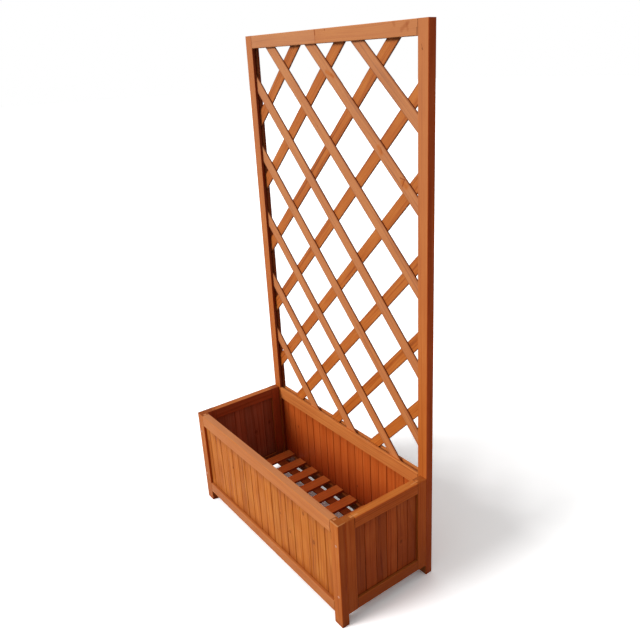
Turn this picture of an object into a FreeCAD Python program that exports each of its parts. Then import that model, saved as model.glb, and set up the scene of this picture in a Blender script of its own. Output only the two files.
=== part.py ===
import FreeCAD, Part
import math
import os

# Floor planter with a trellis, in millimetres. Four grooved softwood frames are screwed together at
# the corners: a front frame, two side frames, and a back frame that runs up as the trellis. The
# boards and the lattice stand loose in ploughed grooves, and a slatted floor lies on the ledges.
# X runs along the planter, Y from front to back, Z up. The origin is on the floor under the centre.

# Overall sizes
overall_length = 700.0
overall_depth = 300.0
overall_height = 1350.0
box_height = 300.0
foot_height = 31.0

# Frame timber
frame_thickness = 21.5
stile_width = 31.0
side_stile_width = 28.0
bottom_rail_height = 31.0
front_rail_height = 34.0
side_rail_height = 31.0
middle_rail_height = 38.0
trellis_rail_height = 31.5
frame_arris = 1.0

# Ploughed grooves and the play of what stands in them
groove_depth = 8.0
groove_play = 0.2
end_play = 1.0
overcut = 1.0

# Tongue-and-groove boards. In the orders below, w is a wide board, which covers two half widths and
# has a false joint down its middle, and h is a half board. They run from the left of each panel.
board_thickness = 8.0
half_board_cover = 34.35
joint_gap = 0.5
joint_chamfer = 1.7
false_joint_chamfer = 1.3
tongue_thickness = 2.6
tongue_length = 4.0
tongue_play = 0.2
front_first_board = 22.0
front_board_order = "wwwwwwhww"
back_first_board = 63.5
back_board_order = "whwhhwhhww"
side_first_board = 33.0
side_board_order = "whw"

# Edge boards, in half covers: one wider than the first keeps a false joint, and no board is narrower
# than the second
widest_plain_board = 1.5
narrowest_board = 0.25

# Lattice: two layers of slats that cross at about 45 degrees, laid by hand, so they fan a little
lattice_slat_width = 30.5
lattice_slat_thickness = 4.0
lattice_arris = 0.6
lattice_pitch = 186.0
lattice_corner_draw = 8.0
lattice_angle = 45.0
front_layer_lean = 0.5
front_layer_fan = 1.5
back_layer_fan = 0.4

# Floor grid
floor_slat_width = 36.0
floor_slat_thickness = 7.0
floor_slat_pitch = 65.4
floor_slat_arris = 0.8
floor_grid_shift = 5.0
floor_slat_play = 1.0
batten_width = 28.0
batten_thickness = 5.5
batten_inset = 31.0

# Countersunk screws at the four corners
screw_heights = (89.0, 239.0)
screw_length = 40.0
screw_diameter = 4.0
screw_head_diameter = 8.2
screw_hole_play = 0.1
cross_slot_length = 4.6
cross_slot_width = 1.0
cross_slot_depth = 1.4

# Sizes that follow from the ones above
board_groove = board_thickness + groove_play
lattice_groove = 2 * lattice_slat_thickness + groove_play
middle = frame_thickness / 2
half_length = overall_length / 2
half_depth = overall_depth / 2
opening_length = overall_length - 2 * stile_width
side_length = overall_depth - 2 * frame_thickness
side_opening_length = side_length - 2 * side_stile_width
ledge_height = foot_height + bottom_rail_height


def vector(x, y, z):
    return FreeCAD.Vector(x, y, z)


def block(x_low, x_high, y_low, y_high, z_low, z_high):
    return Part.makeBox(x_high - x_low, y_high - y_low, z_high - z_low, vector(x_low, y_low, z_low))


def prism(points, along):
    """A closed outline of straight edges, pushed along a vector."""
    outline = Part.makePolygon(points + points[:1])
    return Part.Face(outline).extrude(along)


def eased_bar(width, thickness, length, arris):
    """A bar along X, thickness in Y and width in Z, with its four long edges taken off."""
    section = [vector(0, arris, 0), vector(0, thickness - arris, 0), vector(0, thickness, arris),
               vector(0, thickness, width - arris), vector(0, thickness - arris, width),
               vector(0, arris, width), vector(0, 0, width - arris), vector(0, 0, arris)]
    return prism(section, vector(length, 0, 0))


# ---- Frames -------------------------------------------------------------------------------------
# Every frame is built flat in its own plane: X along the frame from the middle of its opening,
# Y through its thickness from the outer face, Z up. Side frames are turned into place afterwards.

def stile(width, bottom, top, opening, grooves):
    """The right-hand stile, with its grooves in the edge that faces the opening."""
    post = eased_bar(width, frame_thickness, top - bottom, frame_arris)
    post.rotate(vector(0, 0, 0), vector(0, 1, 0), -90)
    post.translate(vector(opening / 2 + width, 0, bottom))
    for groove_width, low, high in grooves:
        inner_edge = opening / 2
        post = post.cut(block(inner_edge - overcut, inner_edge + groove_depth,
                              middle - groove_width / 2, middle + groove_width / 2, low, high))
    return post


def turned_round(shape):
    """The same piece on the other end of its frame."""
    return shape.mirror(vector(0, 0, 0), vector(1, 0, 0))


def rail(opening, bottom, top, tenon_width, groove_above=0, groove_below=0):
    """A rail between two stiles: grooved along its edges, with a stub tenon on each end."""
    bar = eased_bar(top - bottom, frame_thickness, opening, frame_arris)
    bar.translate(vector(-opening / 2, 0, bottom))
    tenon_bottom = bottom
    tenon_top = top
    if groove_below:
        tenon_bottom = bottom + groove_depth
        bar = bar.cut(block(-opening, opening, middle - groove_below / 2,
                            middle + groove_below / 2, bottom - overcut, tenon_bottom))
    if groove_above:
        tenon_top = top - groove_depth
        bar = bar.cut(block(-opening, opening, middle - groove_above / 2,
                            middle + groove_above / 2, tenon_top, top + overcut))
    tenon_reach = opening / 2 + groove_depth
    tenons = block(-tenon_reach, tenon_reach, middle - tenon_width / 2, middle + tenon_width / 2,
                   tenon_bottom, tenon_top)
    return bar.fuse(tenons).removeSplitter()


def false_joint_place(left, right, first, last):
    """Where a wide board has its middle groove, measured from the joint that it keeps."""
    if first:
        return right - half_board_cover
    if last:
        return left + half_board_cover
    if right - left > widest_plain_board * half_board_cover:
        return (left + right) / 2
    return None


def board(left, right, opening, first, last):
    """A board between two joint lines: V-joint on the face, tongue right and groove left."""
    face = middle - board_thickness / 2
    back = face + board_thickness
    reach = opening / 2 + groove_depth - end_play
    left_edge = -reach if first else left + joint_gap / 2
    right_edge = reach if last else right - joint_gap / 2
    tongue_front = middle - tongue_thickness / 2
    tongue_back = middle + tongue_thickness / 2
    section = []
    if first:
        section.append((left_edge, face))
    else:
        slot_front = tongue_front - tongue_play / 2
        slot_back = tongue_back + tongue_play / 2
        slot_bottom = left_edge + tongue_length + tongue_play
        section += [(left_edge, back), (left_edge, slot_back), (slot_bottom, slot_back),
                    (slot_bottom, slot_front), (left_edge, slot_front),
                    (left_edge, face + joint_chamfer), (left_edge + joint_chamfer, face)]
    centre = false_joint_place(left, right, first, last)
    if centre is not None and abs(centre) < opening / 2 - false_joint_chamfer:
        section += [(centre - false_joint_chamfer, face), (centre, face + false_joint_chamfer),
                    (centre + false_joint_chamfer, face)]
    if last:
        section += [(right_edge, face), (right_edge, back)]
    else:
        section += [(right_edge - joint_chamfer, face), (right_edge, face + joint_chamfer),
                    (right_edge, tongue_front), (right_edge + tongue_length, tongue_front),
                    (right_edge + tongue_length, tongue_back), (right_edge, tongue_back),
                    (right_edge, back)]
    if first:
        section.append((left_edge, back))
    return section


def boards(opening, bottom, top, first_width, order):
    """The boards of one panel, from the left, standing on the floor of the bottom groove."""
    joints = [-opening / 2, -opening / 2 + first_width]
    while joints[-1] < opening / 2 - narrowest_board * half_board_cover:
        letter = order[(len(joints) - 2) % len(order)]
        cover = 2 * half_board_cover if letter == "w" else half_board_cover
        joints.append(joints[-1] + cover)
    joints[-1] = opening / 2
    length = top - bottom + 2 * groove_depth - end_play
    panel = []
    for number, (left, right) in enumerate(zip(joints[:-1], joints[1:])):
        is_last = number == len(joints) - 2
        section = board(left, right, opening, number == 0, is_last)
        foot = [vector(across, through, bottom - groove_depth) for across, through in section]
        panel.append(prism(foot, vector(0, 0, length)))
    return panel


def side_frame():
    """One side frame, flat in its own plane: stiles and rails by their place, and the boards."""
    groove = [(board_groove, foot_height, box_height)]
    post = stile(side_stile_width, foot_height, box_height, side_opening_length, groove)
    opening_top = box_height - side_rail_height
    frame = {
        "right_stile": post,
        "left_stile": turned_round(post),
        "top_rail": rail(side_opening_length, opening_top, box_height, board_groove,
                         groove_below=board_groove),
        "bottom_rail": rail(side_opening_length, foot_height, ledge_height, board_groove,
                            groove_above=board_groove),
    }
    panel = boards(side_opening_length, ledge_height, opening_top, side_first_board,
                   side_board_order)
    return frame, panel


def placed_front(shape):
    shape.translate(vector(0, -half_depth, 0))
    return shape


def placed_back(shape):
    shape.translate(vector(0, half_depth - frame_thickness, 0))
    return shape


def placed_right(shape):
    shape.rotate(vector(0, 0, 0), vector(0, 0, 1), 90)
    shape.translate(vector(half_length, 0, 0))
    return shape


def placed_left(shape):
    shape.rotate(vector(0, 0, 0), vector(0, 0, 1), -90)
    shape.translate(vector(-half_length, 0, 0))
    return shape


# ---- Lattice ------------------------------------------------------------------------------------
# Each slat is a long strip laid across the trellis opening and cut to the shape of the grooves
# that hold its ends. It stands on the floor of the groove in the middle rail.

def lattice_layer(direction, layer_front, leans):
    """One layer of parallel slats; direction is 1 where they rise to the right, -1 where they fall."""
    low = box_height
    high = overall_height - trellis_rail_height
    side = opening_length / 2
    rise = direction * math.tan(math.radians(lattice_angle))
    count = len(leans)
    pocket_side = side + groove_depth - end_play
    pocket = block(-pocket_side, pocket_side, layer_front, layer_front + lattice_slat_thickness,
                   low - groove_depth, high + groove_depth - end_play)
    layer = []
    for number, lean in enumerate(leans):
        crossing = (low + high) / 2 + (number - (count - 1) / 2) * lattice_pitch
        if number == 0:
            crossing += lattice_corner_draw
        if number == count - 1:
            crossing -= lattice_corner_draw
        reaches = sorted(((low - crossing) / rise, (high - crossing) / rise))
        middle_x = (max(-side, reaches[0]) + min(side, reaches[1])) / 2
        middle_z = crossing + rise * middle_x
        reach = overall_length + overall_height
        slat = eased_bar(lattice_slat_width, lattice_slat_thickness, 2 * reach, lattice_arris)
        slat.translate(vector(-reach, layer_front, -lattice_slat_width / 2))
        slat.rotate(vector(0, 0, 0), vector(0, 1, 0), -direction * (lattice_angle + lean))
        slat.translate(vector(middle_x, 0, middle_z))
        layer.append(slat.common(pocket))
    return layer


def lattice_slat_count():
    span = overall_height - trellis_rail_height - box_height
    span += opening_length * math.tan(math.radians(lattice_angle))
    return int(span / lattice_pitch)


# ---- Floor --------------------------------------------------------------------------------------

def floor_slats():
    """Slats that run from front to back, their ends on the ledges of the two bottom rails."""
    ledge_room = overall_depth - frame_thickness - board_thickness
    length = ledge_room - floor_slat_play
    inner_length = overall_length - 2 * frame_thickness
    count = int((inner_length - floor_slat_width) / floor_slat_pitch) + 1
    slats = []
    for number in range(count):
        centre = floor_grid_shift + (number - (count - 1) / 2) * floor_slat_pitch
        slat = eased_bar(floor_slat_thickness, floor_slat_width, length, floor_slat_arris)
        slat.rotate(vector(0, 0, 0), vector(0, 0, 1), 90)
        slat.translate(vector(centre + floor_slat_width / 2, -length / 2, ledge_height))
        slats.append(slat)
    return slats


def floor_batten(slats):
    """The back batten, under the floor slats and as long as the grid that it holds together."""
    grid_left = slats[0].BoundBox.XMin
    grid_right = slats[-1].BoundBox.XMax
    batten = eased_bar(batten_thickness, batten_width, grid_right - grid_left, floor_slat_arris)
    batten_front = half_depth - frame_thickness - batten_inset - batten_width
    batten.translate(vector(grid_left, batten_front, ledge_height - batten_thickness))
    return batten


# ---- Screws -------------------------------------------------------------------------------------

def screw_body(play):
    """The outline of a countersunk screw turned about Y, its head flush with Y = 0."""
    shank = (screw_diameter + play) / 2
    head = (screw_head_diameter + play) / 2
    outline = [vector(0, 0, 0), vector(head, 0, 0), vector(shank, head - shank, 0),
               vector(shank, screw_length, 0), vector(0, screw_length, 0), vector(0, 0, 0)]
    return Part.Face(Part.makePolygon(outline)).revolve(vector(0, 0, 0), vector(0, 1, 0), 360)


def screw():
    """One screw, driven along Y, with a cross recess in its head."""
    long_half = cross_slot_length / 2
    short_half = cross_slot_width / 2
    upright = block(-short_half, short_half, -overcut, cross_slot_depth, -long_half, long_half)
    level = block(-long_half, long_half, -overcut, cross_slot_depth, -short_half, short_half)
    return screw_body(0).cut(upright.fuse(level))


def at_corners(shape, from_back=False):
    """Copies of a screw or of its hole at the four places on one long face of the planter."""
    copies = []
    for side in (-1, 1):
        for height in screw_heights:
            copy = shape.copy()
            if from_back:
                copy.rotate(vector(0, 0, 0), vector(0, 0, 1), 180)
            face = half_depth if from_back else -half_depth
            copy.translate(vector(side * (half_length - middle), face, height))
            copies.append(copy)
    return copies


def drilled(shape):
    """A stile with the holes of the screws that reach it."""
    for hole in front_holes + back_holes:
        if hole.BoundBox.intersect(shape.BoundBox):
            shape = shape.cut(hole)
    return shape


# ---- Build every piece --------------------------------------------------------------------------

pieces = {}
front_holes = at_corners(screw_body(screw_hole_play))
back_holes = at_corners(screw_body(screw_hole_play), from_back=True)

# Front frame
front_opening_top = box_height - front_rail_height
leg = stile(stile_width, 0, box_height, opening_length, [(board_groove, foot_height, box_height)])
pieces["front_left_leg"] = drilled(placed_front(turned_round(leg)))
pieces["front_right_leg"] = drilled(placed_front(leg))
pieces["front_top_rail"] = placed_front(
    rail(opening_length, front_opening_top, box_height, board_groove, groove_below=board_groove))
pieces["front_bottom_rail"] = placed_front(
    rail(opening_length, foot_height, ledge_height, board_groove, groove_above=board_groove))
front_panel = boards(opening_length, ledge_height, front_opening_top, front_first_board,
                     front_board_order)
pieces["front_boards"] = Part.makeCompound([placed_front(one) for one in front_panel])

# Back frame, which runs up as the trellis
middle_rail_bottom = box_height - middle_rail_height
trellis_opening_top = overall_height - trellis_rail_height
back_grooves = [(board_groove, foot_height, box_height - groove_depth),
                (lattice_groove, box_height - groove_depth, overall_height)]
back_stile = stile(stile_width, 0, overall_height, opening_length, back_grooves)
pieces["back_left_stile"] = drilled(placed_back(turned_round(back_stile)))
pieces["back_right_stile"] = drilled(placed_back(back_stile))
pieces["trellis_top_rail"] = placed_back(
    rail(opening_length, trellis_opening_top, overall_height, lattice_groove,
         groove_below=lattice_groove))
pieces["back_middle_rail"] = placed_back(
    rail(opening_length, middle_rail_bottom, box_height, board_groove,
         groove_above=lattice_groove, groove_below=board_groove))
pieces["back_bottom_rail"] = placed_back(
    rail(opening_length, foot_height, ledge_height, board_groove, groove_above=board_groove))
back_panel = boards(opening_length, ledge_height, middle_rail_bottom, back_first_board,
                    back_board_order)
pieces["back_boards"] = Part.makeCompound([placed_back(one) for one in back_panel])

# Side frames: the same frame stands at both ends, turned half round
side_ends = {"right": ("front", "back", placed_right), "left": ("back", "front", placed_left)}
for side_name, (left_end, right_end, placed) in side_ends.items():
    frame, panel = side_frame()
    prefix = side_name + "_side_"
    pieces[prefix + left_end + "_stile"] = drilled(placed(frame["left_stile"]))
    pieces[prefix + right_end + "_stile"] = drilled(placed(frame["right_stile"]))
    pieces[prefix + "top_rail"] = placed(frame["top_rail"])
    pieces[prefix + "bottom_rail"] = placed(frame["bottom_rail"])
    for number, one in enumerate(panel, start=1):
        pieces[prefix + "board_%d" % number] = placed(one)

# Lattice: the front layer falls to the right, the back layer rises to the right
slat_count = lattice_slat_count()
front_leans = [front_layer_lean - front_layer_fan * max(0, number - slat_count / 2)
               for number in range(slat_count)]
back_leans = [-back_layer_fan * (number - (slat_count - 1) / 2) for number in range(slat_count)]
layers = {
    "front": lattice_layer(-1, middle - lattice_slat_thickness, front_leans),
    "back": lattice_layer(1, middle, back_leans),
}
for layer_name, layer in layers.items():
    for number, slat in enumerate(layer, start=1):
        pieces["lattice_%s_slat_%d" % (layer_name, number)] = placed_back(slat)

# Floor grid
grid = floor_slats()
for number, slat in enumerate(grid, start=1):
    pieces["floor_slat_%d" % number] = slat
back_batten = floor_batten(grid)
pieces["floor_back_batten"] = back_batten
pieces["floor_front_batten"] = back_batten.mirror(vector(0, 0, 0), vector(0, 1, 0))

# Screws
pieces["front_screws"] = Part.makeCompound(at_corners(screw()))
pieces["back_screws"] = Part.makeCompound(at_corners(screw(), from_back=True))

os.makedirs("parts", exist_ok=True)
for node, shape in pieces.items():
    shape.exportStep("parts/" + node + ".step")
    print(node, len(shape.Solids), "solid", round(shape.Volume), "mm3", shape.isValid())
print(len(pieces), "nodes")
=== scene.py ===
import itertools
import math
import random

import bmesh
import bpy
from mathutils import Matrix, Vector


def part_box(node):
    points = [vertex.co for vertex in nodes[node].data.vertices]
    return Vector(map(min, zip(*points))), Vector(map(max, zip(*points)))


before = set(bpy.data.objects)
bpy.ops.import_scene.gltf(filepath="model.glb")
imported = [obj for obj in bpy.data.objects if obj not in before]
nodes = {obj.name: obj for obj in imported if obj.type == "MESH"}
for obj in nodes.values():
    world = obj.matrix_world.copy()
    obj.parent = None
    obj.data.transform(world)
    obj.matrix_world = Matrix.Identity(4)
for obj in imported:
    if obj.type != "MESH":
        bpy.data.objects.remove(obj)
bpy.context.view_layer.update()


# ---- Front frame: two legs and two rails ---------------------------------------------------------
# Planed softwood, about 21 by 31 mm, stained orange brown. The legs run down past the bottom rail as
# feet, and the rails sit between them on stub tenons.

class Field:
    """A value in a material. Python's signs on it add Math nodes, or Vector Math nodes for a vector."""

    def __init__(self, tree, socket=None):
        self.tree = tree
        self.socket = socket

    def node(self, kind, settings=None, sockets=None, output=0):
        made = self.tree.nodes.new(kind)
        for name, value in (settings or {}).items():
            if name == "stops":
                set_stops(made.color_ramp, value)
            else:
                setattr(made, name, value)
        for name, value in (sockets or {}).items():
            if isinstance(value, Field):
                self.tree.links.new(value.socket, made.inputs[name])
            else:
                made.inputs[name].default_value = value
        return Field(self.tree, made.outputs[output] if made.outputs else None)

    def sign(self, operation, first, second):
        if "VECTOR" in (socket_kind(first), socket_kind(second)):
            if operation == "MULTIPLY" and socket_kind(second) == "VALUE":
                return self.node("ShaderNodeVectorMath", {"operation": "SCALE"}, {0: first, 3: second})
            return self.node("ShaderNodeVectorMath", {"operation": operation}, {0: first, 1: second})
        return self.node("ShaderNodeMath", {"operation": operation}, {0: first, 1: second})

    def __add__(self, other):
        return self.sign("ADD", self, other)

    __radd__ = __add__

    def __sub__(self, other):
        return self.sign("SUBTRACT", self, other)

    def __rsub__(self, other):
        return self.sign("SUBTRACT", other, self)

    def __mul__(self, other):
        return self.sign("MULTIPLY", self, other)

    __rmul__ = __mul__

    def __truediv__(self, other):
        return self.sign("DIVIDE", self, other)

    def __rtruediv__(self, other):
        return self.sign("DIVIDE", other, self)

    def least(self, other):
        return self.sign("MINIMUM", self, other)

    def most(self, other):
        return self.sign("MAXIMUM", self, other)

    def above(self, other):
        return self.sign("GREATER_THAN", self, other)

    def size(self):
        return self.sign("ABSOLUTE", self, 0.0)

    def whole(self):
        return self.sign("FLOOR", self, 0.0)

    def part(self):
        return self.sign("FRACT", self, 0.0)

    def along(self, direction):
        return self.node("ShaderNodeVectorMath", {"operation": "DOT_PRODUCT"},
                         {0: self, 1: tuple(direction)}, "Value")

    def distance(self, point):
        return self.node("ShaderNodeVectorMath", {"operation": "DISTANCE"}, {0: self, 1: point}, "Value")

    def from_line(self, first, second):
        """The distance from the straight line between two points."""
        line = Vector(second) - Vector(first)
        offset = self - first
        share = offset.along(line / line.length_squared).most(0.0).least(1.0)
        return offset.distance(share * tuple(line))

    def ramp(self, low, high, out_low=0.0, out_high=1.0):
        """Rises softly from out_low to out_high while this value goes from low to high."""
        return self.node("ShaderNodeMapRange", {"interpolation_type": "SMOOTHSTEP"},
                         {"Value": self, "From Min": low, "From Max": high,
                          "To Min": out_low, "To Max": out_high})

    def between(self, first, second):
        """The first colour where this value is 0, and the second where it is 1."""
        return self.node("ShaderNodeMix", {"data_type": "RGBA"}, {0: self, 6: first, 7: second}, 2)

    def tinted(self, tint):
        """This colour multiplied by another, or by a grey."""
        return self.node("ShaderNodeMix", {"data_type": "RGBA", "blend_type": "MULTIPLY"},
                         {0: 1.0, 6: self, 7: tint}, 2)

    def noise(self, detail=2.0, roughness=0.5):
        return self.node("ShaderNodeTexNoise", {}, {"Vector": self, "Scale": 1.0, "Detail": detail,
                                                    "Roughness": roughness})


def socket_kind(value):
    if isinstance(value, Field):
        return "VECTOR" if value.socket.type == "VECTOR" else "VALUE"
    return "VECTOR" if isinstance(value, (tuple, Vector)) else "VALUE"


def set_stops(ramp, stops):
    """Fills a colour ramp with steps of grey, each from its place up to the next."""
    ramp.interpolation = "CONSTANT"
    while len(ramp.elements) < len(stops):
        ramp.elements.new(1.0)
    for element, (place, grey) in zip(ramp.elements, stops):
        element.position = place
        element.color = (grey, grey, grey, 1.0)


def srgb(red, green, blue):
    """A colour as it looks on screen, 0 to 255, in the linear values that a shader takes."""
    linear = []
    for value in (red, green, blue):
        share = value / 255
        linear.append(share / 12.92 if share <= 0.04045 else ((share + 0.055) / 1.055) ** 2.4)
    return (*linear, 1.0)


mm_per_metre = 1000.0
sharpest_flat = 0.3


def grain_frame(node):
    """The directions across, through and along a piece of timber, and the limits of each in mm.

    The grain runs along the longest edge whose faces turn by more than sharpest_flat, in radians.
    """
    mesh = bmesh.new()
    mesh.from_mesh(nodes[node].data)
    bmesh.ops.remove_doubles(mesh, verts=mesh.verts, dist=1e-6)
    arrises = [edge for edge in mesh.edges if edge.calc_face_angle(0.0) > sharpest_flat]
    longest = max(arrises, key=lambda edge: edge.calc_length())
    along = (longest.verts[0].co - longest.verts[1].co).normalized()
    points = [vertex.co * mm_per_metre for vertex in mesh.verts]
    mesh.free()
    low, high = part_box(node)
    axes = [Vector(axis) for axis in ((1, 0, 0), (0, 1, 0), (0, 0, 1))]
    square_on = [axis for axis in axes if abs(axis.dot(along)) < 0.01]
    through = min(square_on, key=lambda axis: (high - low).dot(axis))
    across = through.cross(along).normalized()
    limits = []
    for direction in (across, through, along):
        reach = [point.dot(direction) for point in points]
        limits.append((min(reach), max(reach)))
    return (across, through, along), limits


def object_place(start):
    """The place on the planter in mm."""
    return start.node("ShaderNodeTexCoord", output="Object") * mm_per_metre


def wood_place(place, directions):
    """The same place as distances across, through and along a piece of timber."""
    return [place.along(direction) for direction in directions]


def surface_normal(start):
    return start.node("ShaderNodeNewGeometry", {}, {}, "True Normal")


def joined(start, x, y, z):
    return start.node("ShaderNodeCombineXYZ", {}, {"X": x, "Y": y, "Z": z})


# The stain on bare softwood, from where it lies thin to where it has soaked in; the deepest also serves
# as painted shade
stain_thin = srgb(213, 134, 66)
stain_full = srgb(189, 104, 43)
deep_stain_and_shade = srgb(118, 47, 13)

# What marks it: knots, stain gathered in the joints, also used as painted shade along the frame, faded
# stain, also used as a painted sheen, wear and spilt stain
knot_brown = srgb(86, 34, 12)
joint_and_shade_brown = srgb(122, 46, 11)
faded_stain_and_sheen = srgb(206, 156, 121)
bare_wood = srgb(224, 156, 98)
smudge_brown = srgb(150, 70, 28)

# Tints that multiply the stain: plain for the faces in front, painted shade for the faces on the right,
# and a near-plain lit tone for the faces on the left
plain_tone = (0.98, 0.96, 0.88, 1.0)
right_face_shade = (1.05, 0.68, 0.64, 1.0)
left_tone = (1.0, 0.92, 0.86, 1.0)

# In mm: how far a rail's tenons reach into the stiles, up to where painted shade darkens the box
# towards the floor, and the heights of the box and of the trellis
tenon = 8.0
foot_reach = 240.0
box_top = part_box("front_top_rail")[1].z * mm_per_metre
trellis_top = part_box("trellis_top_rail")[1].z * mm_per_metre


def wood_figure(start, across, through, along, swirl, rng):
    """Latewood rings, fibres, streaks and clouds at a place in a board, each from 0 to 1.

    The swirl, also from 0 to 1, bends the rings round a knot.
    """
    shift = [rng.uniform(-900, 900) for _ in range(3)]
    bend = joined(start, across * 0.010 + shift[0], through * 0.010 + shift[1], along * 0.0032)
    bend = bend.noise(1.0) - 0.5
    turn = rng.uniform(0, 2 * math.pi)
    pith_away = rng.uniform(45, 120)
    pith_across = math.cos(turn) * pith_away
    pith_through = math.sin(turn) * pith_away
    ring_width = rng.uniform(2.6, 3.8)
    from_pith = joined(start, across + bend * 26.0 + pith_across, through + bend * 9.0 + pith_through,
                       0.0).distance((0, 0, 0))
    rings = from_pith / ring_width + swirl * 1.6
    phase = rings.part()
    ring_strength = joined(start, rings.whole() * 0.73, shift[2], along * 0.0016).noise(0.0)
    latewood = phase.ramp(0.30, 0.90) * phase.ramp(0.91, 1.0, 1.0, 0.0) * ring_strength.ramp(0.2, 0.8)
    fibre = joined(start, across * 1.15 + bend * 20.0, through * 1.15 + shift[0],
                   along * 0.022 + shift[1]).noise(2.0, 0.6)
    streak = joined(start, across * 0.21 + bend * 4.0, through * 0.10 + shift[1],
                    along * 0.0030 + shift[2]).noise(2.0, 0.6)
    cloud = joined(start, across * 0.02 + shift[2], through * 0.02, along * 0.011 + shift[0])
    cloud = cloud.noise(1.0)
    return latewood, fibre, streak, cloud


def wood_shader(start, colour, height, gloss):
    """Satin stain over wood, with its pores and rings standing a little proud or sunk."""
    bump = start.node("ShaderNodeBump", {}, {"Strength": 0.5, "Distance": 0.0006, "Height": height})
    surface = start.node("ShaderNodeBsdfPrincipled", {},
                         {"Base Color": colour, "Roughness": gloss, "Normal": bump,
                          "Specular IOR Level": 0.06})
    start.node("ShaderNodeOutputMaterial", {}, {"Surface": surface})


def blank_material(name):
    material = bpy.data.materials.new(name)
    material.use_nodes = True
    material.node_tree.nodes.clear()
    return material


def soaked_colour(start, figure, tone, contrast):
    """The stain's colour over a figure. A tone above 1 is paler and below 1 is darker."""
    latewood, fibre, streak, cloud = figure
    uneven = latewood * 0.26 + (fibre - 0.5) * 0.5 + (streak - 0.5) * 0.5 + (cloud - 0.5) * 0.5
    soak = 0.38 + (uneven + streak.ramp(0.52, 0.68) * 0.34) * contrast
    thin_or_full = soak.ramp(0.0, 0.62).between(stain_thin, stain_full)
    return soak.ramp(0.55, 1.35).between(thin_or_full, deep_stain_and_shade).tinted(tone)


def marked(colour, place, marks):
    """The colour with ragged strokes, each given by its two ends, radius in mm, colour and share."""
    for first, second, radius, mark_colour, share in marks:
        ragged = place.from_line(first, second) / radius + (place * 0.35).noise() * 0.8
        colour = ragged.ramp(0.6, 1.4, share, 0.0).between(colour, mark_colour)
    return colour


def touches(mark, directions, limits):
    """Whether a stroke reaches a bar, given the bar's limits in mm along each of its directions."""
    first, second, radius = mark[:3]
    for direction, (low, high) in zip(directions, limits):
        nearest, farthest = sorted(Vector(end).dot(direction) for end in (first, second))
        if farthest < low - radius or nearest > high + radius:
            return False
    return True


def surface_height(figure):
    latewood, fibre, streak, _ = figure
    return latewood * 0.35 + fibre * 0.5 + streak * 0.2


def surface_gloss(figure):
    latewood, fibre, _, cloud = figure
    return 0.50 + (fibre - 0.5) * 0.20 - latewood * 0.06 + (cloud - 0.5) * 0.10


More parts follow.
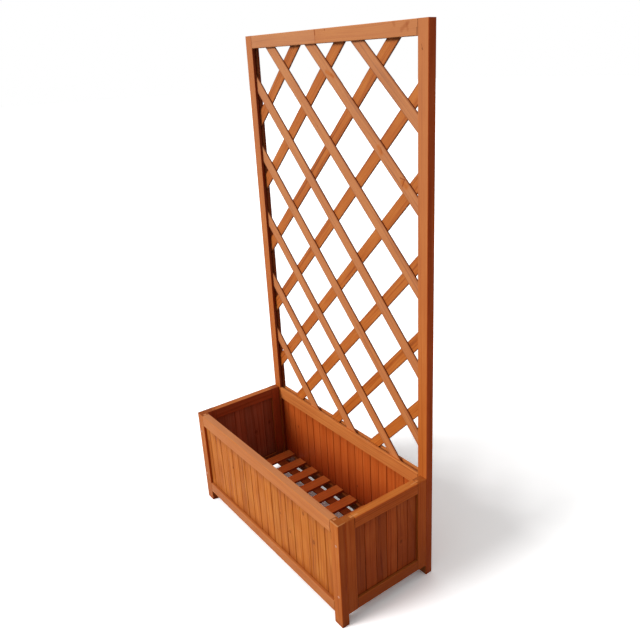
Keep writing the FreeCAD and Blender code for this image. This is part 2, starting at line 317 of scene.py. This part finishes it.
def bar_wood(node, tone, seed, contrast=0.75, joint_line=0.0, faded_and_sheen=(0.0, 0.0),
             side_shade_tint=right_face_shade, paler_top=0.0, seam=None, marks=(), foot=(foot_reach, 0.18),
             rub=0.35, soaked_and_shaded_arris=0.0):
    """Stained timber for one bar, each from its own log.

    The joint line is how dark the joints at a rail's ends are, and the seam is where two lengths
    meet. The bar pales towards a faded stain that also serves as a painted sheen, by the first
    share at the box and by the second at the top of the trellis, on all but its faces to the sides,
    and it is paler on its upward faces by the share for its top. The side tint is painted shade on
    the faces on its right, while those on its left take a near-plain lit tone. The foot is the
    height up to which painted shade darkens it towards the floor, and by what share, and its lowest
    mm take a darker painted contact shadow. Sanding has rubbed its arrises thin by rub, and a sawn
    arris that nobody sanded soaks up stain by soaked_and_shaded_arris, which also paints shade along it.
    """
    rng = random.Random(seed)
    directions, limits = grain_frame(node)
    middles = [(low + high) / 2 for low, high in limits]
    halves = [(high - low) / 2 for low, high in limits]
    material = blank_material("stained_" + node)
    start = Field(material.node_tree)
    place = object_place(start)
    across, through, along = wood_place(place, directions)
    height = place.along((0, 0, 1))
    normal = surface_normal(start)
    sideways = normal.along((1, 0, 0))
    towards_end = sideways.size().ramp(0.45, 0.65)
    figure = wood_figure(start, across, through, along, 0.0, rng)
    colour = soaked_colour(start, figure, tone, contrast)
    # Faded stain and a painted sheen: paler higher up, and only on the faces that are not to the sides
    fading_and_sheen = height.ramp(box_top, trellis_top, *faded_and_sheen) * (1.0 - towards_end)
    colour = fading_and_sheen.between(colour, faded_stain_and_sheen)
    if seam is not None:
        from_seam = place.along((1, 0, 0)) - seam
        colour = from_seam.ramp(-0.5, 0.5, 0.16, 0.0).between(colour, faded_stain_and_sheen)
        colour = from_seam.size().ramp(0.4, 2.0, 0.6, 0.0).between(colour, smudge_brown)
    edge = (halves[0] - (across - middles[0]).size()) + (halves[1] - (through - middles[1]).size())
    rubbed = edge.ramp(0.6, 2.4, rub, 0.0) * figure[3].ramp(0.35, 0.6)
    colour = rubbed.between(colour, stain_thin)
    # Stain soaked into the unsanded sawn arrises, and painted shade along them
    if soaked_and_shaded_arris:
        colour = edge.ramp(1.0, 3.8, soaked_and_shaded_arris, 0.0).between(colour, deep_stain_and_shade)
    # Painted light and shade: faces on the right take the shaded tint, faces on the left the lit one
    light_and_shade_tint = sideways.above(0.0).between(left_tone, side_shade_tint)
    colour = towards_end.between(colour, colour.tinted(light_and_shade_tint))
    # Paler on its upward faces, towards the same faded stain and painted sheen
    colour = normal.along((0, 0, 1)).ramp(0.8, 0.95, 0.0, paler_top).between(colour, faded_stain_and_sheen)
    # Painted shade: darker towards the floor, with a darker painted contact shadow in the lowest mm
    painted_low_shade = height.ramp(20.0, foot[0], foot[1], 0.0).most(height.ramp(2.0, 26.0, 0.5, 0.0))
    colour = painted_low_shade.between(colour, deep_stain_and_shade)
    # Painted shade: the sides of the trellis are darker the higher they are
    high_side_shade = height.ramp(500.0, 1100.0, 0.0, 0.16) * towards_end
    colour = high_side_shade.between(colour, deep_stain_and_shade)
    end_grain = normal.along(directions[2]).size().ramp(0.6, 0.8, 0.0, 0.55)
    colour = end_grain.between(colour, deep_stain_and_shade)
    if joint_line:
        rail_half = halves[2] - tenon
        from_joint = ((along - middles[2]).size() - rail_half).size()
        uneven = (place * 0.09).noise().ramp(0.35, 0.6, 0.4 * joint_line, joint_line)
        colour = (from_joint.ramp(0.3, 1.3, 1.0, 0.0) * uneven).between(colour, knot_brown)
    colour = marked(colour, place, [mark for mark in marks if touches(mark, directions, limits)])
    wood_shader(start, colour, surface_height(figure), surface_gloss(figure))
    dress(node, material)


def dress(node, material):
    slots = nodes[node].data.materials
    slots.clear()
    slots.append(material)


# Worn and dark strokes on the front right corner, where the photograph shows them. Each has its two
# ends, its radius in mm, its colour and its share.
front_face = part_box("front_top_rail")[0].y * mm_per_metre
rim_front = front_face + 1
corner_marks = [((321, rim_front, box_top), (350, rim_front, box_top), 3.0, bare_wood, 0.6),
                ((349, rim_front, box_top), (349, -131, box_top), 2.5, bare_wood, 0.4),
                ((309, front_face, 279), (314, front_face, 276), 2.5, bare_wood, 0.45),
                ((320, front_face, 275), (323, front_face, 266), 1.6, knot_brown, 0.6),
                ((322, front_face, 264), (322, front_face, 249), 1.6, knot_brown, 0.5),
                ((320, -142, box_top), (322, -132, box_top), 1.4, knot_brown, 0.5)]
leg_tone = (0.93, 0.84, 0.66, 1.0)
clear_joint = 0.7
# The left leg is darker than the right, and darker towards the floor, as painted shade
bar_wood("front_left_leg", (0.90, 0.80, 0.62, 1.0), 11, foot=(foot_reach, 0.35))
bar_wood("front_right_leg", leg_tone, 12, marks=corner_marks)
bar_wood("front_top_rail", (1.0, 0.98, 0.9, 1.0), 13, contrast=0.5, joint_line=clear_joint,
         faded_and_sheen=(0.14, 0.14), paler_top=0.22, marks=corner_marks)
bar_wood("front_bottom_rail", (0.95, 0.92, 0.86, 1.0), 14, joint_line=clear_joint,
         faded_and_sheen=(0.10, 0.10))


# ---- Front boards ---------------------------------------------------------------------------------
# Tongue-and-groove boards, 8 mm of softwood on end in the frame's grooves. Wide boards have a second
# V cut down the middle, so every strip looks about 34 mm wide. Stain gathers dark in the Vs.

strip_width = 34.35

# Further off than any joint, knot or screw head shows
far = 99.0

# A knot is this much longer along the grain than across it
knot_length = 1.4

# How far on in the log each board is cut from, in mm
next_board_through = 61.0
next_board_along = 977.0


def joint_places(low, high, first_width, order):
    """The real joints between boards and the false ones down their middles, from low to high.

    In the order, w is a wide board of two strips and h is a half board of one.
    """
    joints = [low + first_width]
    false_joints = [joints[0] - strip_width] if first_width > strip_width else []
    for letter in itertools.cycle(order):
        strips = 2 if letter == "w" else 1
        if strips == 2 and joints[-1] + strip_width < high:
            false_joints.append(joints[-1] + strip_width)
        following = joints[-1] + strips * strip_width
        if following > high - strip_width / 4:
            return joints, false_joints
        joints.append(following)


def knotted(colour, knot_reach):
    """The colour with each knot's dark rim and the deeper stain round it."""
    colour = knot_reach.ramp(0.9, 2.6, 0.35, 0.0).between(colour, deep_stain_and_shade)
    rim = knot_reach.ramp(0.45, 0.85) * knot_reach.ramp(0.9, 1.35, 0.75, 0.0)
    return rim.between(colour, knot_brown)


def panel_wood(name, directions, joints, false_joints, reach, tones, seed, knots, board_tones,
               contrast, frame_shade, other_side=None):
    """Boards side by side: the figure changes at each real joint, and the tone at every strip.

    The reach is what shows of them in the frame, as low and high limits across and along. The two
    board tones are at the foot and higher up, the lower one darker as painted shade, and the pool
    is how much painted shade darkens the boards near the frame, beyond the stain gathered in the
    corner. The other side is the direction of the opposite faces, and their own two tones, so that
    the two faces carry their own painted light and shade.
    """
    rng = random.Random(seed)
    material = blank_material(name)
    start = Field(material.node_tree)
    across, through, along = wood_place(object_place(start), directions)
    board_number = 0.0
    for place in joints:
        board_number = across.above(place) + board_number
    lines = sorted(joints + false_joints)
    span = (lines[0] - strip_width, lines[-1] + strip_width)
    stops = [(0.0, tones[0])]
    for place, grey in zip(lines, tones[1:]):
        stops.append(((place - span[0]) / (span[1] - span[0]), grey))
    strip_tone = start.node("ShaderNodeValToRGB", {"stops": stops},
                            {"Fac": (across - span[0]) / (span[1] - span[0])})
    knot_reach = far
    flat_place = joined(start, across, along / knot_length, 0.0)
    for knot_across, knot_along, knot_radius in knots:
        away = flat_place.distance((knot_across, knot_along / knot_length, 0.0)) / knot_radius
        knot_reach = away.least(knot_reach)
    figure = wood_figure(start, across, through + board_number * next_board_through,
                         along + board_number * next_board_along,
                         knot_reach.ramp(0.0, 5.0, 1.0, 0.0), rng)
    # Painted shade: darker towards the ledge, and the opposite faces take their own tones, lit on one
    # face and shaded on the other
    raised = along.ramp(ledge + 20.0, ledge + 160.0)
    board_tone = raised.between(*board_tones)
    if other_side is not None:
        opposite, opposite_tones = other_side
        facing = surface_normal(start).along(opposite)
        board_tone = facing.ramp(0.2, 0.5).between(board_tone, raised.between(*opposite_tones))
    colour = soaked_colour(start, figure, strip_tone, contrast).tinted(board_tone)
    colour = knotted(colour, knot_reach)
    from_joint = far
    for place in joints:
        from_joint = (across - place).size().least(from_joint)
    from_false = far
    for place in false_joints:
        from_false = (across - place).size().least(from_false)
    uneven = joined(start, across * 0.03, board_number * 7.3, along * 0.005).noise(1.0)
    colour = (from_joint.ramp(0.3, 2.0, 1.0, 0.0) * uneven.ramp(0.38, 0.60, 0.2, 1.0)).between(
        colour, joint_and_shade_brown)
    colour = (from_false.ramp(0.3, 1.6, 1.0, 0.0) * uneven.ramp(0.38, 0.60, 0.1, 0.6)).between(
        colour, joint_and_shade_brown)
    from_frame = (across - reach[0]).least(reach[1] - across)
    from_frame = from_frame.least(along - reach[2]).least(reach[3] - along)
    # Stain gathered in the corner against the frame, and a wider painted shade along the frame's recess
    pooled_stain_and_shade = from_frame.ramp(0.5, 5.0, 0.85, 0.0).most(from_frame.ramp(0.0, 32.0, frame_shade, 0.0) * figure[3])
    colour = pooled_stain_and_shade.between(colour, joint_and_shade_brown)
    wood_shader(start, colour, surface_height(figure), surface_gloss(figure))
    return material


def strip_tones(count, spread, seed):
    rng = random.Random(seed)
    return [1.0 + rng.uniform(-spread, spread) for _ in range(count)]


front_axes = (Vector((1, 0, 0)), Vector((0, 1, 0)), Vector((0, 0, 1)))
front_low, front_high = (corner * mm_per_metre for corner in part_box("front_top_rail"))
opening = (front_low.x + tenon, front_high.x - tenon)
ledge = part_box("front_bottom_rail")[1].z * mm_per_metre
front_joints, front_false = joint_places(*opening, 22.0, "wwwwwwhww")
front_knots = [(198, 244, 2.6), (237, 182, 3.4), (128, 147, 2.4), (86, 181, 1.6), (-310, 214, 2.6),
               (-163, 195, 1.8)]
front_tones = strip_tones(len(front_joints + front_false) + 1, 0.06, 5)
# The outside faces of the boards, a little darker towards the ledge as painted shade
boards_outside = ((0.94, 0.90, 0.64, 1.0), (0.98, 0.95, 0.68, 1.0))
dress("front_boards", panel_wood("stained_front_boards", front_axes, front_joints, front_false,
                                 (*opening, ledge, front_low.z), front_tones, 21, front_knots,
                                 boards_outside, contrast=1.15, frame_shade=0.8))


# ---- Back frame, which runs up as the trellis -----------------------------------------------------
# Two full-height stiles with three rails between them. The top rail is finger-jointed from two
# lengths, and the middle rail carries the boards below it and the lattice above it.

trellis_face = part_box("back_left_stile")[0].y * mm_per_metre
stile_tone = (0.97, 0.87, 0.78, 1.0)
# Painted shade: the stiles darker up to 560 mm above the floor and on their faces to the right, most of
# all on the left stile's inner edge, whose arrises are kept less rubbed
stile_foot = (560.0, 0.4)
stile_side_shade = (1.14, 0.66, 0.66, 1.0)
bar_wood("back_left_stile", (0.94, 0.83, 0.71, 1.0), 31, faded_and_sheen=(0.0, 0.25), foot=stile_foot,
         side_shade_tint=(0.46, 0.25, 0.32, 1.0), rub=0.15)
bar_wood("back_right_stile", stile_tone, 32, faded_and_sheen=(0.0, 0.25), foot=stile_foot,
         side_shade_tint=stile_side_shade,
         marks=[((330, trellis_face, 1303), (332, trellis_face, 1295), 1.3, knot_brown, 0.4),
                ((332, trellis_face, 1295), (333, trellis_face, 1293), 2.0, knot_brown, 0.6)])

# Spilt stain and a dark fleck along the trellis top rail, where the photograph shows them
rail_marks = [((-29, trellis_face, 1348), (-28, trellis_face, 1338), 2.6, smudge_brown, 0.8),
              ((10, trellis_face, 1349), (13, trellis_face, 1345), 1.8, smudge_brown, 0.8),
              ((248, trellis_face, 1348), (251, trellis_face, 1342), 6.0, smudge_brown, 0.3),
              ((272, trellis_face, 1332), (292, trellis_face, 1344), 6.5, smudge_brown, 0.36),
              ((288, trellis_face, 1342), (291, trellis_face, 1331), 5.0, smudge_brown, 0.3),
              ((316, trellis_face, 1334), (316, trellis_face, 1321), 1.4, knot_brown, 0.6)]
bar_wood("trellis_top_rail", plain_tone, 33, joint_line=0.2, faded_and_sheen=(0.28, 0.32), seam=-28.0,
         marks=rail_marks)
bar_wood("back_middle_rail", plain_tone, 34, joint_line=clear_joint, faded_and_sheen=(0.08, 0.08))
# Painted shade: the back bottom rail is darker, where it shows through the floor's gaps
bar_wood("back_bottom_rail", (0.75, 0.55, 0.55, 1.0), 35, joint_line=clear_joint)


# ---- Back boards ----------------------------------------------------------------------------------
# The same boards as in front, wide and half ones mixed, with their V side to the inside of the box.

back_joints, back_false = joint_places(*opening, 63.5, "whwhhwhhww")
back_tones = strip_tones(len(back_joints + back_false) + 1, 0.07, 6)
rail_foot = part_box("back_middle_rail")[0].z * mm_per_metre
back_knots = [(-237, 188, 2.2), (60, 120, 1.8)]
# Painted shade on the inner face of the back boards: darker and redder, most of all low down
back_inside_shade = ((0, -1, 0), ((0.85, 0.46, 0.42, 1.0), (0.85, 0.56, 0.46, 1.0)))
dress("back_boards", panel_wood("stained_back_boards", front_axes, back_joints, back_false,
                                (*opening, ledge, rail_foot), back_tones, 22, back_knots,
                                boards_outside, contrast=0.6, frame_shade=0.5,
                                other_side=back_inside_shade))


# ---- Side frames and their boards -----------------------------------------------------------------
# A short frame at each end, held between the long frames by screws. Both are the same frame, turned
# half round, so the boards' order runs the other way on the left.

# Painted shade: the faces to the right take redder shaded tints, darkest on the left frame's inner
# faces; the left frame is darker all over, with its arrises less rubbed, and both bottom rails are
# darker
side_shade_tints = {"right": (1.27, 0.83, 0.76, 1.0), "left": (0.73, 0.50, 0.74, 1.0)}
frame_tones = {"right": plain_tone, "left": (0.86, 0.78, 0.82, 1.0)}
low_shade_tone = (0.79, 0.77, 0.70, 1.0)
side_parts = ("front_stile", "back_stile", "top_rail", "bottom_rail")
side_axes = {"right": (Vector((0, 1, 0)), Vector((1, 0, 0)), Vector((0, 0, 1))),
             "left": (Vector((0, -1, 0)), Vector((1, 0, 0)), Vector((0, 0, 1)))}

# Worn strokes along the rim of the right side, where the photograph shows them
side_marks = [((342, -107, box_top), (342, -88, box_top), 3.5, bare_wood, 0.5),
              ((346, -142, box_top), (348, -128, box_top), 1.8, bare_wood, 0.4),
              ((342, 84, box_top), (341, 106, box_top), 2.5, bare_wood, 0.5)]

side_board_count = 4
side_strip_tones = (0.88, 1.05, 0.86, 1.16, 0.98, 0.92)
side_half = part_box("right_side_top_rail")[1].y * mm_per_metre - tenon
side_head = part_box("right_side_top_rail")[0].z * mm_per_metre
# Painted shade on the right boards' outer face and the left boards' inner face, darker low down; their
# other faces take the outside tones
right_outside_shade = ((0.84, 0.48, 0.46, 1.0), (1.02, 0.61, 0.56, 1.0))
left_inside_shade = ((0.55, 0.54, 1.40, 1.0), (0.62, 0.56, 1.40, 1.0))
board_looks = {"right": (right_outside_shade, ((-1, 0, 0), boards_outside)),
               "left": (boards_outside, ((1, 0, 0), left_inside_shade))}
for side_number, (side, axes) in enumerate(side_axes.items()):
    for number, part in enumerate(side_parts):
        bar_wood(side + "_side_" + part, low_shade_tone if part == "bottom_rail" else frame_tones[side],
                 41 + 10 * side_number + number,
                 joint_line=clear_joint if part.endswith("rail") else 0.0,
                 side_shade_tint=side_shade_tints[side], marks=side_marks, foot=(foot_reach, 0.36),
                 rub=0.35 if side == "right" else 0.1)
    side_joints, side_false = joint_places(-side_half, side_half, 33.0, "whw")
    side_knots = [(48, 148, 2.2)] if side == "right" else [(-34, 165, 3.0), (-86, 182, 3.0)]
    face_tones, other_side = board_looks[side]
    side_boards = panel_wood("stained_" + side + "_side_boards", axes, side_joints, side_false,
                             (-side_half, side_half, ledge, side_head), side_strip_tones,
                             61 + side_number, side_knots, face_tones, contrast=1.0, frame_shade=0.3,
                             other_side=other_side)
    for number in range(1, side_board_count + 1):
        dress("%s_side_board_%d" % (side, number), side_boards)


# ---- Lattice ----------------------------------------------------------------------------------------
# Sixteen sawn slats, 30 by 4 mm, in two layers that cross. Nothing is shown to fix them where they
# cross: their ends are held in the grooves of the back frame.

# Painted shade on the slats' edges that face right
lattice_edge_shade = (0.40, 0.25, 0.22, 1.0)

# Stained patches and the outline of a knot, where the photograph shows them, and specks anywhere
slat_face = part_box("lattice_front_slat_1")[0].y * mm_per_metre
slat_marks = [((2, slat_face, 1256), (28, slat_face, 1245), 8.0, stain_full, 0.7),
              ((20, slat_face, 1249), (28, slat_face, 1245), 4.0, smudge_brown, 0.3),
              ((185, slat_face, 1095), (195, slat_face, 1082), 9.0, stain_full, 0.7),
              ((193, slat_face, 1093), (197, slat_face, 1082), 3.0, smudge_brown, 0.45),
              ((264, slat_face, 1024), (276, slat_face, 1016), 11.0, stain_full, 0.8),
              ((257, slat_face, 1033), (271, slat_face, 1030), 2.4, smudge_brown, 0.9),
              ((271, slat_face, 1031), (264, slat_face, 1016), 2.4, smudge_brown, 0.9)]
speck_count = 14
rng = random.Random(7)
for _ in range(speck_count):
    speck = (rng.uniform(-300, 300), slat_face, rng.uniform(320, 1300))
    slat_marks.append((speck, speck[:2] + (speck[2] - 1.5,), rng.uniform(1.6, 2.8), knot_brown, 0.6))

slats_in_layer = 8
# The front layer is paler than the back, more so higher up, as faded stain and painted sheen
lattice_looks = {"front": ((0.96, 0.96, 0.95, 1.0), (0.18, 0.37)),
                 "back": ((0.91, 0.82, 0.68, 1.0), (0.0, 0.10))}
for layer in ("front", "back"):
    for number in range(1, slats_in_layer + 1):
        seed = 100 + number + (20 if layer == "back" else 0)
        slat_tone, slat_faded_and_sheen = lattice_looks[layer]
        bar_wood("lattice_%s_slat_%d" % (layer, number), slat_tone, seed, contrast=1.1,
                 faded_and_sheen=slat_faded_and_sheen, side_shade_tint=lattice_edge_shade, marks=slat_marks, rub=0.0,
                 soaked_and_shaded_arris=0.5)


# ---- Floor ------------------------------------------------------------------------------------------
# Ten slats on the ledges of the long bottom rails, with gaps for water, and two thin battens under
# them that keep their spacing.

floor_slat_count = 10
# Painted light: the floor slats are made paler to stand in for the light that falls into the box
floor_lit_tone = (1.55, 1.34, 1.5, 1.0)
# Painted shade on the slats' sides in the gaps, and on the battens under them
floor_gap_shade = (0.45, 0.3, 0.3, 1.0)
batten_shade_tone = (0.7, 0.5, 0.6, 1.0)
for number in range(1, floor_slat_count + 1):
    bar_wood("floor_slat_%d" % number, floor_lit_tone, 140 + number, contrast=0.45,
             foot=(foot_reach, 0.0), side_shade_tint=floor_gap_shade)
bar_wood("floor_back_batten", batten_shade_tone, 161)
bar_wood("floor_front_batten", batten_shade_tone, 162)


# ---- Screws -----------------------------------------------------------------------------------------
# Bright zinc countersunk screws with a cross recess, two in each corner, driven flush through the
# legs in front and through the trellis stiles behind.

# How far each screw stands from the planter's middle, and how high, in mm
head_radius = 4.1
screws_low, screws_high = (corner * mm_per_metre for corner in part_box("front_screws"))
screw_side = screws_high.x - head_radius
screw_heights = (screws_low.z + head_radius, screws_high.z - head_radius)


def zinc():
    """Yellowed zinc, with the stain that has run into the countersink round each head."""
    material = blank_material("yellowed_zinc")
    start = Field(material.node_tree)
    place = object_place(start)
    cloud = (place * 0.9).noise(3.0)
    colour = cloud.ramp(0.3, 0.7).between(srgb(226, 178, 146), srgb(190, 142, 112))
    from_axis = far
    for screw_height in screw_heights:
        beside = joined(start, place.along((1, 0, 0)).size() - screw_side, 0.0,
                        place.along((0, 0, 1)) - screw_height)
        from_axis = beside.distance((0, 0, 0)).least(from_axis)
    colour = from_axis.ramp(2.4, 3.2).between(colour, srgb(158, 88, 44))
    surface = start.node("ShaderNodeBsdfPrincipled", {},
                         {"Base Color": colour, "Metallic": 1.0, "Roughness": 0.28 + cloud * 0.2})
    start.node("ShaderNodeOutputMaterial", {}, {"Surface": surface})
    return material


zinc_plate = zinc()
dress("front_screws", zinc_plate)
dress("back_screws", zinc_plate)


# ---- Floor and light of the studio ------------------------------------------------------------------
# A plain white floor that runs out of sight, one soft key lamp from the front left, and an even low
# light all round.

def seen_directly(start):
    """1 for the rays that show the background: straight to the camera, mirrored or let through."""
    light_path = {name: start.node("ShaderNodeLightPath", {}, {}, name)
                  for name in ("Is Camera Ray", "Is Glossy Ray", "Is Transmission Ray")}
    return light_path["Is Camera Ray"].most(
        light_path["Is Glossy Ray"].most(light_path["Is Transmission Ray"]))


horizon_light = 0.44
zenith_light = 0.46
world = bpy.data.worlds.new("studio")
bpy.context.scene.world = world
world.use_nodes = True
world.node_tree.nodes.clear()
start = Field(world.node_tree)
seen = seen_directly(start)
height = start.node("ShaderNodeTexCoord", output="Generated").along((0, 0, 1))
sky_light = height.ramp(0.1, 0.9, horizon_light, zenith_light)
ambient = start.node("ShaderNodeBackground", {}, {"Color": (1, 1, 1, 1), "Strength": sky_light})
white = start.node("ShaderNodeBackground", {}, {"Color": (1, 1, 1, 1), "Strength": 1.0})
sky = start.node("ShaderNodeMixShader", {}, {0: seen, 1: ambient, 2: white})
start.node("ShaderNodeOutputWorld", {}, {"Surface": sky})

# The floor as the camera sees it, and as it lights the wood
floor_seen = (1.6, 1.6, 1.6, 1.0)
floor_lighting = (0.14, 0.14, 0.14, 1.0)
floor_half = 30.0
floor_mesh = bpy.data.meshes.new("studio_floor")
floor_mesh.from_pydata([(-floor_half, -floor_half, 0), (floor_half, -floor_half, 0),
                        (floor_half, floor_half, 0), (-floor_half, floor_half, 0)], [], [(0, 1, 2, 3)])
floor = bpy.data.objects.new("studio_floor", floor_mesh)
bpy.context.scene.collection.objects.link(floor)
floor_material = blank_material("studio_floor")
start = Field(floor_material.node_tree)
floor_colour = seen_directly(start).between(floor_lighting, floor_seen)
floor_surface = start.node("ShaderNodeBsdfDiffuse", {}, {"Color": floor_colour})
start.node("ShaderNodeOutputMaterial", {}, {"Surface": floor_surface})
floor_mesh.materials.append(floor_material)

key_azimuth = math.radians(-18)
key_height = math.radians(31)
key_spread = math.radians(27)
key_strength = 0.87
key_towards = Vector((math.sin(key_azimuth) * math.cos(key_height),
                      -math.cos(key_azimuth) * math.cos(key_height), math.sin(key_height)))
key_lamp = bpy.data.lights.new("key", "SUN")
key_lamp.energy = key_strength * math.pi
key_lamp.angle = key_spread
key = bpy.data.objects.new("key", key_lamp)
key.rotation_mode = "QUATERNION"
key.rotation_quaternion = key_towards.to_track_quat("Z", "Y")
bpy.context.scene.collection.objects.link(key)


# ---- Camera -----------------------------------------------------------------------------------------
# It stands where the photograph was taken from: in front, to the right, and a little below the top.

camera_azimuth = math.radians(53.12)
camera_height = math.radians(21.15)
camera_roll = math.radians(-2.53)
picture_side = 640.0
focal_pixels = 664.3
centre_pixel = (342.32, 317.36)
camera_place = (1.34938, -0.86021, 1.27962)

backwards = Vector((math.sin(camera_azimuth) * math.cos(camera_height),
                    -math.cos(camera_azimuth) * math.cos(camera_height), math.sin(camera_height)))
level_right = (-backwards).cross(Vector((0, 0, 1))).normalized()
level_up = backwards.cross(level_right)
right = math.cos(camera_roll) * level_right + math.sin(camera_roll) * level_up
up = math.cos(camera_roll) * level_up - math.sin(camera_roll) * level_right
camera_data = bpy.data.cameras.new("camera")
camera_data.sensor_width = 36.0
camera_data.lens = focal_pixels / picture_side * camera_data.sensor_width
camera_data.shift_x = (picture_side / 2 - centre_pixel[0]) / picture_side
camera_data.shift_y = (centre_pixel[1] - picture_side / 2) / picture_side
camera_data.clip_end = 100.0
camera = bpy.data.objects.new("camera", camera_data)
turned = Matrix((right, up, backwards)).transposed().to_4x4()
camera.matrix_world = Matrix.Translation(camera_place) @ turned
bpy.context.scene.collection.objects.link(camera)
bpy.context.scene.camera = camera

view = bpy.context.scene.view_settings
view.view_transform = "Standard"
